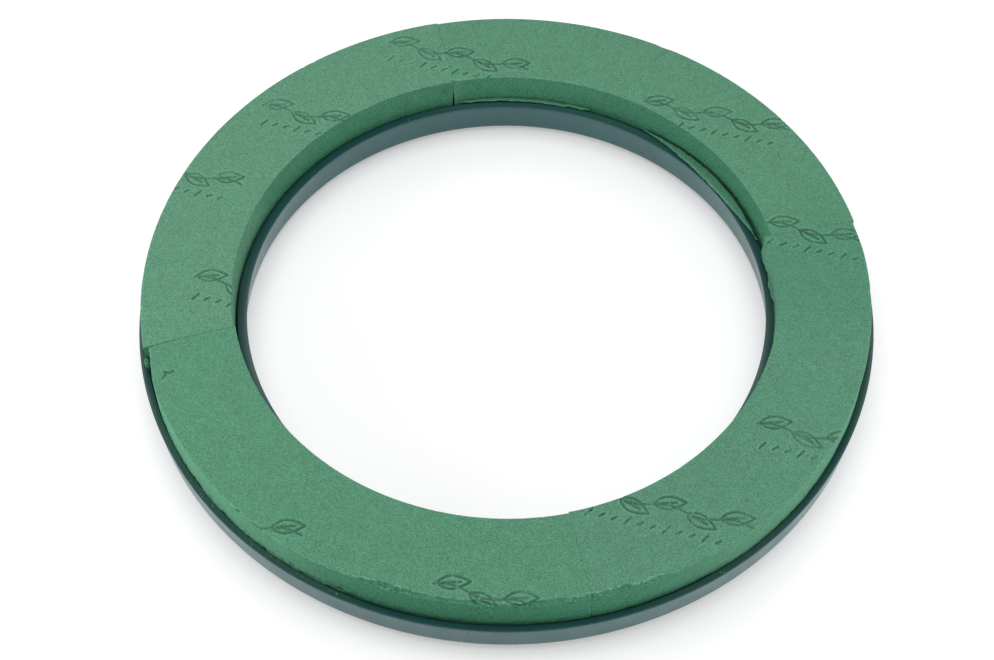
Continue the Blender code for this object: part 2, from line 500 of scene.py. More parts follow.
# Stretches of the ring: first angle, last angle and how softly each end fades, in degrees.
FRONT_CRUMBLE = (248.0, 293.0, 2.5)
FRONT_LEFT_NICKS = (222.0, 247.0, 4.0)
BACK_LEFT_NICKS = (120.0, 192.0, 8.0)
KNIFE_CHIP = (60.5, 62.5, 0.8)
HOLE_CHIP = (137.0, 146.0, 1.5)
BACK_SEAM_CHIP = (97.0, 103.0, 1.0)
# The front outer walls and the back inner walls get the most painted shade.
FRONT_SHADED_WALLS = (243.0, 297.0, 13.0)
BACK_SHADED_WALLS = (13.0, 157.0, 6.0)
FRONT_LEFT_TORN = (206.0, 248.0, 4.0)
FRONT_LEFT_PAINTED_LIGHT = (203.0, 238.0, 6.0)
LEFT_FILLED_OUT = (197.0, 243.0, 4.0)

# The same for stretches that pass 0 degrees, counted from the angle that comes first.
RIGHT_NICKS = (350.0, -25.0, 25.0, 8.0)
RIGHT_DEEP_TOP = (6.0, -16.0, 10.0, 9.0)
RIGHT_FILLED_OUT = (340.0, -38.0, 29.0, 4.0)
RIGHT_PAINTED_LIGHT = (0.0, -14.0, 13.0, 4.0)
RIGHT_BULGE = (0.0, 4.0, 11.5, 1.4)

# Angles of three seams and of what is beside them.
RIGHT_SEAM = 12.0
BACK_SEAM = 102.0
LEFT_SEAM = 192.0
TRIM_MIDDLE = 192.6
DENT_MIDDLE = 101.0
SMUDGE_MIDDLE = 103.6

# Upper edges: how far they are rounded everywhere, and how much more is gone where they crumble.
EDGE_RADIUS = 0.15
EDGE_ROUND = 0.13
EDGE_LEAST = 0.06 * MM
CHIP_ACROSS = 1.75
CHIP_DOWN = 1.25
FLAKE_SIZE = 0.40 * MM

# The outer walls of the two front arcs.
FILLED_RADIUS = 0.1499
FILL_LIMIT = 1.2 * MM
TRIM_DEPTH = 1.05 * MM
TRIM_REACH = 5.5

# The crushed bottom edges, the askew left-hand seam and the torn right-hand seam.
CRUSHED_HEIGHT = 4.6 * MM
CRUSHED_DEPTH = 3.4 * MM
ASKEW_TURN = 1.15
ASKEW_REACH = 7.0
STANDING_OUT = 1.25 * MM
STANDING_REACH = 9.0
BULGE_OUT = 1.1 * MM

# The slit and the dent at the back seam.
SLIT_TOP = (7.3 * MM, 7.9 * MM)
SLIT_OPEN = 0.40 * MM
DENT_DEPTH = 0.75 * MM
DENT_IN = 0.5 * MM


def node_points(node):
    """The points of a CAD node's mesh."""
    return np.array([vert.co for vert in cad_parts[node].data.vertices])


def near_angle(angle, target):
    """Signed difference of angles, in degrees."""
    return (angle - target + 180.0) % 360.0 - 180.0


def steady_angles(points):
    """The points' angles in degrees, without a jump in between them."""
    angle = np.degrees(np.arctan2(points[:, 1], points[:, 0]))
    middle = math.degrees(math.atan2(points[:, 1].mean(), points[:, 0].mean()))
    return near_angle(angle, middle) + middle


def window_from(angle, target, low, high, soft):
    """A window on the signed difference from an angle, for a stretch that passes 0 degrees."""
    return window(near_angle(angle, target), low, high, soft)


def arc_facts(node):
    """Angles, radii and heights of a foam arc, read from its CAD node."""
    low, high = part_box(node)
    points = node_points(node)
    top = points[points[:, 2] > high.z - 0.1 * MM]
    radius = np.hypot(top[:, 0], top[:, 1])
    angle = steady_angles(top)
    outer = radius > (radius.min() + radius.max()) / 2.0
    facts = {"low": low.z, "high": high.z}
    for side, chosen in (("outer", outer), ("inner", ~outer)):
        order = np.argsort(angle[chosen])
        facts[side] = (angle[chosen][order], radius[chosen][order])
    facts["start"] = max(facts["outer"][0][0], facts["inner"][0][0])
    facts["end"] = min(facts["outer"][0][-1], facts["inner"][0][-1])
    return facts


def spaced(first, last, step):
    """Values from first up to, and not including, last, about that far apart."""
    count = max(2, round(abs(last - first) / step))
    return list(np.linspace(first, last, count, endpoint=False))


def section_points(width, height):
    """The arc's section as a loop of (distance from the inner side, height above its foot)."""
    loop = [(across, height) for across in spaced(width, 0.0, TOP_STEP)]
    down = spaced(height, height - FINE_WALL, WALL_STEP)
    down += spaced(height - FINE_WALL, height - SHOWN_WALL, LOW_WALL_STEP)
    down += spaced(height - SHOWN_WALL, 0.0, HIDDEN_STEP)
    loop += [(0.0, z) for z in down]
    loop += [(across, 0.0) for across in spaced(0.0, width, HIDDEN_STEP)]
    loop += [(width, z) for z in [0.0] + down[:0:-1]]
    return np.array(loop) / (width, height)


def crumbly_share(angle, outer_side, nicks):
    """How crumbly an upper edge is at each angle, from 0 to 1."""
    if outer_side:
        crumbly = window(angle, *FRONT_CRUMBLE)
        crumbly += 0.45 * window(angle, *FRONT_LEFT_NICKS) * nicks
        crumbly += 0.40 * window(angle, *BACK_LEFT_NICKS) * nicks
        crumbly += 0.35 * window_from(angle, *RIGHT_NICKS) * nicks
        crumbly += 0.25 * window(angle, *KNIFE_CHIP)
    else:
        crumbly = 0.45 * window(angle, *HOLE_CHIP) * nicks
        crumbly += 0.35 * window(angle, *BACK_SEAM_CHIP)
        crumbly += 0.25 * nicks
    return unit(crumbly)


def chip_widths(angle, outer_side):
    """How far an upper edge is broken away, across and down, and how crumbly it is."""
    turn = np.radians(angle)
    edge = place_round(EDGE_RADIUS, turn, np.zeros(len(turn)))
    ragged = layered_noise(edge, 1.5 * MM, 11 if outer_side else 23)
    coarse = layered_noise(edge, 8.0 * MM, 31 if outer_side else 43)
    nicks = ramp(lattice_noise(edge, 4.0 * MM, 47), 0.45, 0.85)
    crumbly = crumbly_share(angle, outer_side, nicks)
    bites = np.clip(0.95 + 0.70 * coarse + 0.30 * ragged, 0.10, 1.7)
    across = (EDGE_ROUND + 0.05 * ragged + CHIP_ACROSS * crumbly * bites) * MM
    down = (EDGE_ROUND + 0.04 * coarse + CHIP_DOWN * crumbly * bites) * MM
    return np.maximum(across, EDGE_LEAST), np.maximum(down, EDGE_LEAST), crumbly


def painted_shade_share(angle, outer_side, depth):
    """How much painted shade darkens and deepens the green of the cut walls: more so at the back, the
    front and lower down.
    """
    outer = 0.12 + 0.73 * window(angle, *FRONT_SHADED_WALLS)
    inner = 0.15 + 0.75 * window(angle, *BACK_SHADED_WALLS)
    return np.where(outer_side, outer, inner) * (1.0 + 0.25 * ramp(depth, 3.0 * MM, 13.0 * MM))


class ArcSurface:
    """The points of a foam arc's surface, how far wear moves each of them, and how far dust, painted
    light and painted shade tint each.
    """

    def __init__(self, short_name):
        self.name = short_name
        self.node = f"foam_arc_{short_name}"
        facts = arc_facts(self.node)
        middle_angle = (facts["start"] + facts["end"]) / 2.0
        outer_radius = np.interp(middle_angle, *facts["outer"])
        inner_radius = np.interp(middle_angle, *facts["inner"])
        self.lay_rows(facts, float(outer_radius + inner_radius) / 2.0)
        self.lay_points(facts, float(outer_radius - inner_radius))
        self.push_out, self.push_up, self.slide, self.dust, self.mark = np.zeros((5, len(self.angle)))
        # Painted shade: cut walls darker and deeper green; the top near the right-hand seam is darker
        # too.
        self.cut = self.on_wall * painted_shade_share(self.ring_angle, self.outer_half, self.depth)
        self.cut += self.on_top * 0.30 * window_from(self.ring_angle, *RIGHT_DEEP_TOP)

    def lay_rows(self, facts, mid_radius):
        """Space the rows so that the seams between the arcs are almost closed."""
        gap_between = math.radians(SEAM_STEP - (facts["end"] - facts["start"])) * mid_radius
        reach_out = math.degrees((gap_between - SEAM_GAP_LEFT) / 2.0 / mid_radius)
        first, last = facts["start"] - reach_out, facts["end"] + reach_out
        self.rows = round(math.radians(last - first) * mid_radius / ARC_STEP) + 1
        self.row_angles = np.linspace(first, last, self.rows)

    def lay_points(self, facts, width):
        """Lay the section's points at every row, and note where each of them is."""
        height = facts["high"] - facts["low"]
        loop = section_points(width, height)
        self.columns = len(loop)
        self.low = facts["low"]
        self.angle = np.repeat(self.row_angles, self.columns)
        self.ring_angle = self.angle % 360.0
        self.turn = np.radians(self.angle)
        self.span = np.tile(loop[:, 0], self.rows)
        self.rise = np.tile(loop[:, 1], self.rows)
        self.inner = np.interp(self.angle, *facts["inner"])
        self.outer = np.interp(self.angle, *facts["outer"])
        self.radius = self.inner + self.span * (self.outer - self.inner)
        self.z = self.low + self.rise * height
        self.depth = facts["high"] - self.z
        self.place = place_round(self.radius, self.turn, self.z)
        self.plan = self.place[:, :2]
        self.on_top = self.rise > 0.999
        self.on_wall = ((self.span < 0.001) | (self.span > 0.999)) & ~self.on_top
        self.on_foot = self.rise < 0.001
        self.outer_half = self.span > 0.5
        self.inner_wall = self.on_wall & (self.span < 0.5)


def wear_upper_edge(arc, outer_side):
    """Round an upper edge a little everywhere, and break it away where it crumbles."""
    widths = chip_widths(arc.row_angles % 360.0, outer_side)
    across, down, crumbly = (np.repeat(values, arc.columns) for values in widths)
    from_edge = (1.0 - arc.span if outer_side else arc.span) * (arc.outer - arc.inner)
    inward = -1.0 if outer_side else 1.0
    on_side = arc.on_wall & (arc.outer_half == outer_side)
    scoop = 1.0 + 2.2 * crumbly
    top_part = arc.on_top & (from_edge < across)
    share = (0.5 + 0.5 * from_edge / across)[top_part]
    arc.push_out[top_part] += inward * (share * across[top_part] - from_edge[top_part])
    arc.push_up[top_part] -= down[top_part] * (1.0 - share ** scoop[top_part])
    wall_part = on_side & (arc.depth < down)
    share = (0.5 - 0.5 * arc.depth / down)[wall_part]
    arc.push_out[wall_part] += inward * share * across[wall_part]
    arc.push_up[wall_part] -= down[wall_part] * (1.0 - share ** scoop[wall_part]) - arc.depth[wall_part]
    broken = (top_part | wall_part) * unit(crumbly * 1.4)
    near = hump(from_edge, 1.2 * MM) * arc.on_top + hump(arc.depth, 1.5 * MM) * on_side
    flaky = layered_noise(arc.place, 0.9 * MM, 57 + outer_side, 2)
    arc.push_up += FLAKE_SIZE * flaky * broken
    arc.push_out += inward * FLAKE_SIZE * np.clip(-flaky, -0.2, 1.0) * near * crumbly * on_side
    # A lighter band along the upper edge, more where it crumbles: crumb dust and a painted highlight.
    rim_light = hump(from_edge - across, 0.30 * MM) * arc.on_top
    arc.dust += rim_light * (0.08 + 1.00 * crumbly * ramp(flaky, -0.2, 0.5))
    arc.dust += 0.30 * broken * unit(flaky)
    # Painted shade in the broken edge's hollows and on the broken faces below the jagged line.
    arc.mark += 0.25 * broken * unit(-flaky)
    fallen = ramp(across - from_edge, 0.08 * MM, 0.35 * MM) * unit(crumbly * 1.6)
    arc.cut += arc.on_top * fallen * 0.75 * (0.7 + 0.3 * np.clip(-flaky, -1.0, 1.0))


def press_pattern(arc):
    """The pressed pattern, the knife mark, the grain and the open pits of the top face, with painted
    shade in the grooves, the knife slit and the pits.
    """
    rows = np.nonzero(arc.on_top)[0]
    place, plan = arc.place[rows], arc.plan[rows]
    worn = np.clip(0.85 + 0.50 * layered_noise(place, 7.0 * MM, 71), 0.22, 1.0)
    whole = ramp(layered_noise(place, 1.7 * MM, 77), -0.75, -0.25)
    ragged = 1.0 + 0.35 * lattice_noise(place, 0.9 * MM, 83)
    gap = distance_to_segments(plan, SEGMENT_STARTS, SEGMENT_ENDS, 1.6 * MM)
    groove = ramp(-gap, -GROOVE_WIDTH * 1.25 * ragged, -GROOVE_WIDTH * 0.25) * worn * whole
    knife_gap = distance_to_segments(plan, *KNIFE_CUT, 1.5 * MM)
    knife = unit(1.0 - knife_gap / (0.6 * MM)) * ramp(arc.radius[rows], *KNIFE_FADE)
    lip = hump(gap - 0.95 * MM, 0.32 * MM) * worn
    grain = lattice_noise(place, 0.55 * MM, 103)
    arc.push_up[rows] -= GROOVE_DEPTH * groove + KNIFE_DEPTH * knife
    arc.push_up[rows] += 0.06 * MM * lip
    # Painted shade in the grooves and the knife slit; the raised lip beside the grooves is made lighter.
    arc.mark[rows] += 0.56 * groove + 0.30 * knife
    arc.dust[rows] += 0.18 * lip
    arc.push_up[rows] += 0.07 * MM * layered_noise(place, 14.0 * MM, 101) + 0.035 * MM * grain
    pits = ramp(lattice_noise(place, 1.3 * MM, 107), 0.88, 0.99)
    arc.push_up[rows] -= 0.22 * MM * pits
    # Painted shade in the pits.
    arc.mark[rows] += 0.22 * pits


def roughen_walls(arc):
    """Knife-cut walls, faintly wavy, with open cells and tears near the tray's rim."""
    rows = np.nonzero(arc.on_wall)[0]
    place, depth = arc.place[rows], arc.depth[rows]
    sign = np.where(arc.outer_half[rows], 1.0, -1.0)
    wave = 0.10 * MM * layered_noise(place * (1.0, 1.0, 0.35), 9.0 * MM, 113)
    cells = 0.05 * MM * lattice_noise(place, 0.8 * MM, 127)
    pits = ramp(lattice_noise(place, 1.5 * MM, 131), 0.80, 0.97)
    low_down = window(depth, 11.5 * MM, 16.0 * MM, 1.2 * MM)
    tear_depth = 0.30 + 0.55 * window(arc.ring_angle[rows], *FRONT_LEFT_TORN) * (sign > 0.0)
    torn = np.clip(layered_noise(place, 1.8 * MM, 137), -0.2, 1.0) * low_down * tear_depth * MM
    inward_limit = ramp(depth, 0.0, 1.0 * MM)
    arc.push_out[rows] += sign * inward_limit * (wave + cells - 0.25 * MM * pits - torn - 0.06 * MM)
    # Painted shade in the walls' pits.
    arc.mark[rows] += 0.30 * pits


def shape_outer_walls(arc):
    """Trim and fill out the front arcs' outer walls where the real ones differ, and paint light on the
    front left one.
    """
    beside_rim = ramp(arc.span, 0.80, 1.0)
    # The front left arc was trimmed back beside the left-hand seam, and its wall is painted lighter: a
    # painted pool of side light, with a painted highlight along its top edge.
    trimmed = hump(near_angle(arc.ring_angle, TRIM_MIDDLE), TRIM_REACH) * (arc.name == "front_left")
    arc.push_out -= TRIM_DEPTH * trimmed * beside_rim
    painted_light = window(arc.ring_angle, *FRONT_LEFT_PAINTED_LIGHT) * (arc.name == "front_left")
    arc.dust += 0.14 * painted_light * arc.on_wall * arc.outer_half
    edge_highlight = hump(arc.outer - arc.radius, 0.45 * MM) * arc.on_top
    arc.dust += 0.40 * edge_highlight * painted_light * unit(0.8 + 0.5 * layered_noise(arc.place, 4.0 * MM, 167))
    # Both front arcs stand close to the rim at the ring's two sides.
    sides = window(arc.ring_angle, *LEFT_FILLED_OUT) + window_from(arc.ring_angle, *RIGHT_FILLED_OUT)
    sides = unit(sides) * arc.name.startswith("front")
    arc.push_out += np.clip(FILLED_RADIUS - arc.outer, 0.0, FILL_LIMIT) * sides * beside_rim


def crush_bottom(arc):
    """Crush the bottom edges in, clear of the tray's rounded corners."""
    crushed = ramp(-arc.z, -(arc.low + CRUSHED_HEIGHT), -arc.low)
    inward = np.where(arc.outer_half, -1.0, 1.0)
    arc.push_out += inward * CRUSHED_DEPTH * crushed * (arc.on_wall | arc.on_foot)
    arc.push_out[arc.on_foot & (arc.span > 0.06) & (arc.span < 0.94)] = 0.0


def break_seams(arc, away, seam_noise):
    """Seam edges a little broken in places, and the left-hand seam cut a little askew."""
    to_end = np.minimum(arc.angle - arc.row_angles[0], arc.row_angles[-1] - arc.angle)
    at_seam = hump(to_end * np.pi / 180.0 * arc.radius, 0.60 * MM)
    broken = ramp(seam_noise, 0.05, 0.6)
    arc.push_up -= arc.on_top * at_seam * (0.02 + 0.16 * broken) * MM
    arc.slide += away * at_seam * (0.01 + 0.04 * arc.on_top) * MM * broken
    askew = hump(near_angle(arc.ring_angle, LEFT_SEAM), ASKEW_REACH) * unit(arc.span) ** 1.5
    arc.slide += math.radians(ASKEW_TURN) * arc.radius * askew


def open_back_seam(arc, away, seam_noise):
    """The open slit in the inner wall at the back seam, with a crushed, smudged corner above it."""
    from_seam = near_angle(arc.ring_angle, BACK_SEAM)
    arc_length = np.radians(np.abs(from_seam)) * arc.radius
    from_wall = arc.radius - arc.inner
    slit = ramp(arc.depth, *SLIT_TOP) * hump(from_wall, 3.5 * MM) * hump(arc_length, 2.4 * MM)
    arc.slide += away * slit * SLIT_OPEN
    dent = hump(np.radians(near_angle(arc.ring_angle, DENT_MIDDLE)) * arc.radius, 3.8 * MM)
    dent *= hump(from_wall, 2.2 * MM) * (0.7 + 0.4 * seam_noise)
    arc.push_up -= arc.on_top * dent * DENT_DEPTH
    arc.push_out += arc.inner_wall * dent * hump(arc.depth, 5.0 * MM) * DENT_IN
    arc.dust += 0.45 * dent * arc.on_top * unit(0.7 + seam_noise)
    smudge = hump(np.radians(near_angle(arc.ring_angle, SMUDGE_MIDDLE)) * arc.radius, 3.2 * MM)
    smudge *= arc.inner_wall * window(arc.depth, 2.2 * MM, 7.5 * MM, 1.6 * MM)
    arc.mark += 0.30 * smudge * unit(0.7 + 0.5 * seam_noise)
    # Less painted shade on the inner wall just before the back seam.
    arc.cut *= 1.0 - 0.75 * (from_seam < 0.0) * hump(arc_length, 4.0 * MM) * arc.inner_wall


def tear_right_seam(arc):
    """The front right arc's inner wall, which stands out, bulges and tears over the rim."""
    if arc.name != "front_right":
        return
    # Painted light: the inner wall near the right-hand seam made lighter in its upper 8 mm.
    dusty = window_from(arc.ring_angle, *RIGHT_PAINTED_LIGHT) * (arc.depth < 8.0 * MM)
    arc.dust += 0.13 * arc.inner_wall * dusty
    bulge = window_from(arc.ring_angle, *RIGHT_BULGE)
    low_wall = ramp(arc.depth, 5.0 * MM, 12.5 * MM)
    low_wall *= 1.0 - ramp(arc.depth, 14.0 * MM, 14.4 * MM)
    tear = np.clip(0.6 + 0.6 * layered_noise(arc.place, 2.4 * MM, 163), 0.1, 1.3)
    standing = hump(near_angle(arc.ring_angle, RIGHT_SEAM), STANDING_REACH)
    standing *= ramp(-arc.span, -0.22, -0.02) * (1.0 - ramp(arc.depth, 11.5 * MM, 13.6 * MM))
    arc.push_out -= STANDING_OUT * standing
    arc.push_out -= arc.inner_wall * bulge * low_wall * tear * BULGE_OUT


def build_foam_arc(short_name):
    """A foam arc with its pressed marks, chipped edges, grain and rough seams."""
    arc = ArcSurface(short_name)
    for outer_side in (True, False):
        wear_upper_edge(arc, outer_side)
    press_pattern(arc)
    roughen_walls(arc)
    shape_outer_walls(arc)
    crush_bottom(arc)
    in_first_half = arc.angle - arc.row_angles[0] < arc.row_angles[-1] - arc.angle
    away = np.where(in_first_half, 1.0, -1.0)
    seam_noise = layered_noise(arc.place, 3.0 * MM, 149)
    break_seams(arc, away, seam_noise)
    open_back_seam(arc, away, seam_noise)
    tear_right_seam(arc)
    radius = arc.radius + arc.push_out
    turn = arc.turn + arc.slide / radius
    place = place_round(radius, turn, np.minimum(arc.z + arc.push_up, cad_high.z))
    piece = tube_object(f"foam_{short_name}", place, arc.rows, arc.columns, FOAM[short_name])
    add_values(piece, "dust", unit(arc.dust))
    add_values(piece, "mark", unit(arc.mark))
    add_values(piece, "cut", np.clip(arc.cut, 0.0, 1.3))
    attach(piece, BODY)
    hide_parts(arc.node)


# ---- tray

def round_points(centre, radius, start, end, steps):
    """Points of a round stretch of a section, angles in degrees."""
    turns = np.radians(np.linspace(start, end, steps + 1))
    return [(centre[0] + radius * math.cos(turn), centre[1] + radius * math.sin(turn)) for turn in turns]


def tray_facts():
    """The tray's outer and inner radius and its rim's height, read from its CAD node."""
    points = node_points("plastic_tray")
    radius = np.hypot(points[:, 0], points[:, 1])
    return radius.max(), radius.min(), points[:, 2].max()


TRAY_OUTER, TRAY_INNER, RIM = tray_facts()
OUTER_CORNER = 7.5 * MM
HOLE_CORNER = 5.5 * MM
TRAY_WALL = 1.2 * MM
LEDGE_DROP = 0.5 * MM
RIM_ROUND = 0.28 * MM
OUTER_LIP = 0.70 * MM
HOLE_LIP = 0.85 * MM
OUTER_DRAFT = 5.0
HOLE_DRAFT = 8.5
LIP_ROUND = 0.1 * MM
TRAY_ROWS = 720

# Where the tray's two outside walls start: radius and height.
OUTER_WALL_FROM = (0.1515, 6.0 * MM)
HOLE_WALL_FROM = (0.1111, 4.5 * MM)
SINK_DEPTH = 0.07 * MM
WALL_WAVE = 0.05 * MM
MOULD_LINE_ANGLE = 288.0
MOULD_LINE_DEPTH = 0.12 * MM

# Dust, painted light and grey patches on the ledges: first angle, last angle and how softly each end
# fades.
FRONT_LEFT_DUST_AND_GLINT = (203.0, 246.0, 6.0)
FRONT_RIGHT_DUST_AND_LIGHT = (292.0, 318.0, 6.0)
BACK_LEDGE_LIGHT = (52.0, 108.0, 7.0)
LEFT_GREY_PATCH = (172.0, 205.0, 7.0)
RIGHT_GREY_PATCH = (0.0, -24.0, 9.0, 2.0)
FRONT_RIGHT_GREY_PATCH = (292.0, 330.0, 8.0)


def between(first, last, count):
    """Evenly spaced points between two points, without the two."""
    first, last = np.array(first), np.array(last)
    return [tuple(first + (last - first) * share) for share in np.linspace(0.0, 1.0, count + 2)[1:-1]]


def corner_inset(corner, draft):
    """How far from the rim's edge a corner's centre is, below a wall that leans by draft."""
    lean = math.radians(draft)
    return (RIM - corner) * math.tan(lean) + corner / math.cos(lean)


def tray_section():
    """The channel's section as a loop of (radius, height), finer than the CAD node's."""
    outer_centre = (TRAY_OUTER - corner_inset(OUTER_CORNER, OUTER_DRAFT), OUTER_CORNER)
    hole_centre = (TRAY_INNER + corner_inset(HOLE_CORNER, HOLE_DRAFT), HOLE_CORNER)
    outer_pocket = outer_centre[0] + OUTER_CORNER - TRAY_WALL
    hole_pocket = hole_centre[0] - HOLE_CORNER + TRAY_WALL
    edge, lip = RIM_ROUND, LIP_ROUND
    ledge = RIM - LEDGE_DROP

    def dished(first, last):
        """The rim's face, flat beside its outer edge and falling a little towards the foam."""
        shares = (0.0, 0.04, 0.12, 0.28, 0.46, 0.64, 0.82, 1.0)
        return [(first + (last - first) * share, RIM - LEDGE_DROP * share ** 2) for share in shares]

    loop = round_points((TRAY_OUTER - edge, RIM - edge), edge, 85.0, -OUTER_DRAFT, 6)
    corner = round_points(outer_centre, OUTER_CORNER, -OUTER_DRAFT, -90.0, 12)
    loop += between(loop[-1], corner[0], 8) + corner
    loop += between(corner[-1], (hole_centre[0], 0.0), 10)
    corner = round_points(hole_centre, HOLE_CORNER, 270.0, 180.0 + HOLE_DRAFT, 10)
    rim_part = round_points((TRAY_INNER + edge, RIM - edge), edge, 180.0 + HOLE_DRAFT, 95.0, 6)
    loop += corner + between(corner[-1], rim_part[0], 8) + rim_part
    hole_lip = hole_pocket + HOLE_LIP
    outer_lip = outer_pocket - OUTER_LIP
    loop += dished(TRAY_INNER + edge, hole_lip - lip)
    loop += round_points((hole_lip - lip, ledge - lip), lip, 60.0, 0.0, 2)
    loop += round_points(hole_centre, HOLE_CORNER - TRAY_WALL, 180.0, 270.0, 8)
    loop += round_points(outer_centre, OUTER_CORNER - TRAY_WALL, 270.0, 360.0, 8)
    loop += round_points((outer_lip + lip, ledge - lip), lip, 180.0, 120.0, 2)
    loop += dished(TRAY_OUTER - edge, outer_lip + lip)[::-1]
    return np.array(loop)


PIN_MARKS = 12
PIN_MARK_RING = 0.131
PIN_MARK_RADIUS = 3.0 * MM
PIN_MARK_DEPTH = 0.22 * MM


def pin_marks(place):
    """How deep the round ejector marks are at each point of the underside."""
    depth = np.zeros(len(place))
    for index in range(PIN_MARKS):
        middle = math.radians((index + 0.5) * 360.0 / PIN_MARKS)
        x, y = PIN_MARK_RING * math.cos(middle), PIN_MARK_RING * math.sin(middle)
        gap = np.hypot(place[:, 0] - x, place[:, 1] - y)
        depth += (1.0 - ramp(gap, PIN_MARK_RADIUS - 0.6 * MM, PIN_MARK_RADIUS)) * PIN_MARK_DEPTH
    return depth


def add_tray_wear(piece, angle, radius, z, on_walls):
    """Foam dust and painted light on the two ledges, lighter grey patches on them, and which part is an
    outside wall, which gets painted light.
    """
    near_outer = hump(radius - 0.1503, 1.6 * MM)
    near_inner = hump(radius - 0.1115, 2.2 * MM)
    # Painted light on the ledges, strongest at the back and the front, with painted glints at the front
    # left, mixed with foam dust.
    outer_dust = 0.16 + 0.75 * window(angle, *FRONT_LEFT_DUST_AND_GLINT) + 0.35 * window(angle, *FRONT_RIGHT_DUST_AND_LIGHT)
    inner_dust = 0.10 + 0.40 * window(angle, *BACK_LEDGE_LIGHT)
    on_ledge = z > RIM - 0.9 * MM
    grey_patch = window(angle, *LEFT_GREY_PATCH) + window_from(angle, *RIGHT_GREY_PATCH)
    grey_patch += 0.5 * window(angle, *FRONT_RIGHT_GREY_PATCH) * (radius > 0.13)
    # Painted light: the outside walls take the lighter wall colour.
    wall_light = ramp(RIM - z, 0.25 * MM, 1.2 * MM) * on_walls
    add_values(piece, "dust", unit((near_outer * outer_dust + near_inner * inner_dust) * on_ledge))
    add_values(piece, "grey_patch", unit(0.20 * grey_patch * on_ledge))
    add_values(piece, "wall", unit(wall_light))


def build_tray():
    """The moulded channel tray: turned section, soft waves, a mould line and ejector marks."""
    loop = tray_section()
    columns = len(loop)
    angle = np.repeat(np.arange(TRAY_ROWS) * 360.0 / TRAY_ROWS, columns)
    radius = np.tile(loop[:, 0], TRAY_ROWS)
    z = np.tile(loop[:, 1], TRAY_ROWS)
    turn = np.radians(angle)
    place = place_round(radius, turn, z)

    ledge_zone = ramp(z, RIM - 1.2 * MM, RIM - 0.6 * MM)
    wave = layered_noise(place, 26.0 * MM, 211)
    z = z - ledge_zone * SINK_DEPTH * (1.0 + wave)
    outer_wall = (radius > OUTER_WALL_FROM[0]) & (z > OUTER_WALL_FROM[1])
    hole_wall = (radius < HOLE_WALL_FROM[0]) & (z > HOLE_WALL_FROM[1])
    radius = radius - outer_wall * WALL_WAVE * (1.0 + wave) + hole_wall * WALL_WAVE * (1.0 + wave)
    line = hump(np.radians(near_angle(angle, MOULD_LINE_ANGLE)) * radius, 0.35 * MM)
    radius = radius - outer_wall * line * MOULD_LINE_DEPTH
    z = z + (z < 0.01 * MM) * pin_marks(place)

    place = place_round(radius, turn, z)
    faces = tube_faces(TRAY_ROWS, columns, closed_rows=True)
    piece = mesh_object("tray", place, faces, tray_material())
    add_tray_wear(piece, angle, radius, z, outer_wall | hole_wall)
    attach(piece, BODY)
    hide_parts("plastic_tray")


# ---- glue

def build_glue_bead(node):
    """A hand-laid bead, rounded and uneven, inside the box that its CAD node holds."""
    points = node_points(node)
    low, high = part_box(node)
    radius = np.hypot(points[:, 0], points[:, 1])
    angle = steady_angles(points)
    mid_radius = (radius.min() + radius.max()) / 2.0
    half_width = (radius.max() - radius.min()) / 2.0
    half_height = (high.z - low.z) / 2.0
    rows, columns = 150, 16
    angles = np.repeat(np.linspace(angle.min(), angle.max(), rows), columns)
    around = np.tile(np.linspace(0.0, 2.0 * np.pi, columns, endpoint=False), rows)
    along = np.tile(np.linspace(-1.0, 1.0, rows)[:, None], (1, columns)).ravel()
    flat = np.zeros(len(angles))
    spine = np.column_stack([np.radians(angles) * mid_radius, flat, flat])
    uneven = 0.80 + 0.16 * layered_noise(spine, 9.0 * MM, 307)
    taper = np.sqrt(unit(1.0 - np.abs(along) ** 24)) * 0.98 + 0.02
    wander = 0.10 * half_width * layered_noise(spine, 22.0 * MM, 311)
    bulge = np.sign(np.sin(around)) * np.abs(np.sin(around)) ** 0.6
    ring = mid_radius + wander + half_width * uneven * taper * np.cos(around)
    z = (low.z + high.z) / 2.0 + half_height * 0.97 * taper * bulge
    place = place_round(ring, np.radians(angles), z)
    piece = tube_object(node.replace("glue_bead", "hot_melt"), place, rows, columns, GLUE)
    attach(piece, BODY)
    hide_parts(node)


# ---- shavings and crumbs

# First and last angle of each sliver of foam, and the radius of the foam wall beside it.
RIGHT_SHAVING = (56.5, 16.3, 0.1124)
BACK_SHAVING = (100.6, 70.4, 0.1127)
TORN_FLAKE = (6.2, -1.2, 0.1118)
RIBBON_STEPS = 8


